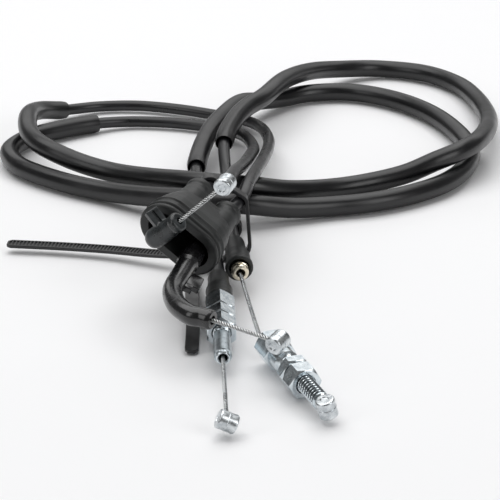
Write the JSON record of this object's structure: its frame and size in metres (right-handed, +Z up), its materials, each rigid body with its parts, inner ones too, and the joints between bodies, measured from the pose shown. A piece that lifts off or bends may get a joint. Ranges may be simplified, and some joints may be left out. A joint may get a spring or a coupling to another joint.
{
  "type": "throttle cable pair",
  "caption": "Coiled and tied pair of push-pull throttle cables with a shared rubber boot, elbow and bent guide pipe, barrel nipples, sleeving and threaded adjusters with lock nuts.",
  "frame": {"origin": "centre of the bounding box, at the surface that the coil lies on", "axes": "+Z up from that surface, +Y from the carburettor ends to the back of the coil, +X to the right as pictured"},
  "size_m": [0.2188, 0.3882, 0.0573],
  "materials": {
    "rubber": "matte moulded",
    "sleeving": "satin extruded vinyl",
    "casing": "satin extruded skin",
    "nylon": "moulded, low sheen",
    "black_steel": "gloss black",
    "zinc": "bright zinc plated",
    "wire": "stranded steel",
    "yellow_zinc": "pale yellow plated"
  },
  "bodies": {
    "cables": {"rubber_boot": "rubber", "pull_grip_ferrule": "zinc", "return_grip_ferrule": "zinc", "upper_elbow": "nylon", "bent_pipe": "black_steel", "pull_casing": "casing", "return_casing": "casing", "pull_sleeve": "sleeving", "return_sleeve": "sleeving", "pull_ferrule": "yellow_zinc", "return_ferrule": "yellow_zinc", "return_wire_span": "wire", "bundle_tie": "nylon", "casing_tie": "nylon"},
    "pull_grip_end": {"pull_grip_nipple": "zinc", "pull_grip_wire": "wire"},
    "return_grip_end": {"return_grip_nipple": "zinc", "return_grip_wire": "wire"},
    "pull_carb_end": {"pull_carb_nipple": "zinc", "pull_wire_end": "wire"},
    "return_carb_end": {"return_carb_nipple": "zinc", "return_wire_end": "wire"},
    "seated_adjuster_body": {"seated_adjuster": "zinc"},
    "seated_inner_nut_body": {"seated_inner_nut": "zinc"},
    "seated_outer_nut_body": {"seated_outer_nut": "zinc"},
    "loose_adjuster_body": {"loose_adjuster": "zinc"},
    "loose_inner_nut_body": {"loose_inner_nut": "zinc"},
    "loose_outer_nut_body": {"loose_outer_nut": "zinc"},
    "pull_cap_body": {"pull_cap": "rubber"},
    "return_cap_body": {"return_cap": "rubber"}
  },
  "joints": [
    {"name": "pull_wire_slide", "type": "slide", "parent": "cables", "child": "pull_carb_end", "axis": [0.04, -0.9987, -0.03], "range_m": [-0.018, 0.012]},
    {"name": "pull_grip_slide", "type": "slide", "parent": "cables", "child": "pull_grip_end", "axis": [0.66, -0.33, 0.675], "range_m": [-0.012, 0.018], "deforming": ["pull_grip_wire"]},
    {"name": "return_wire_slide", "type": "slide", "parent": "cables", "child": "return_carb_end", "axis": [0.366, -0.9301, -0.03], "range_m": [0, 0.014]},
    {"name": "return_grip_slide", "type": "slide", "parent": "cables", "child": "return_grip_end", "axis": [0.822, -0.568, -0.042], "range_m": [-0.014, 0], "deforming": ["return_grip_wire"]},
    {"name": "seated_adjuster_turn", "type": "hinge", "parent": "cables", "child": "seated_adjuster_body", "pos_m": [-0.01252, -0.10479, 0.00764], "axis": [0.04, -0.9987, -0.03], "continuous": true},
    {"name": "seated_outer_nut_slide", "type": "slide", "parent": "seated_adjuster_body", "child": "seated_outer_nut_body", "axis": [0.04, -0.9987, -0.03], "range_m": [0, 0.012]},
    {"name": "seated_inner_nut_slide", "type": "slide", "parent": "seated_adjuster_body", "child": "seated_inner_nut_body", "axis": [0.04, -0.9987, -0.03], "range_m": [0, 0.012]},
    {"name": "loose_adjuster_slide", "type": "slide", "parent": "cables", "child": "loose_adjuster_body", "axis": [-0.366, 0.9301, 0.03], "range_m": [0, 0.008]},
    {"name": "loose_inner_nut_slide", "type": "slide", "parent": "loose_adjuster_body", "child": "loose_inner_nut_body", "axis": [-0.366, 0.9301, 0.03], "range_m": [0, 0.003]},
    {"name": "loose_outer_nut_slide", "type": "slide", "parent": "loose_adjuster_body", "child": "loose_outer_nut_body", "axis": [0.366, -0.9301, -0.03], "range_m": [0, 0.01]},
    {"name": "pull_cap_slide", "type": "slide", "parent": "cables", "child": "pull_cap_body", "axis": [-0.04, 0.9987, 0.03], "range_m": [0, 0.005]},
    {"name": "return_cap_slide", "type": "slide", "parent": "cables", "child": "return_cap_body", "axis": [-0.1001, 0.9925, 0.07], "range_m": [0, 0.008]}
  ],
  "couplings": [
    {"joint": "pull_grip_slide", "follows": "pull_wire_slide", "ratio": -1},
    {"joint": "return_grip_slide", "follows": "return_wire_slide", "ratio": -1},
    {"joint": "seated_inner_nut_slide", "follows": "seated_outer_nut_slide", "ratio": 1}
  ]
}
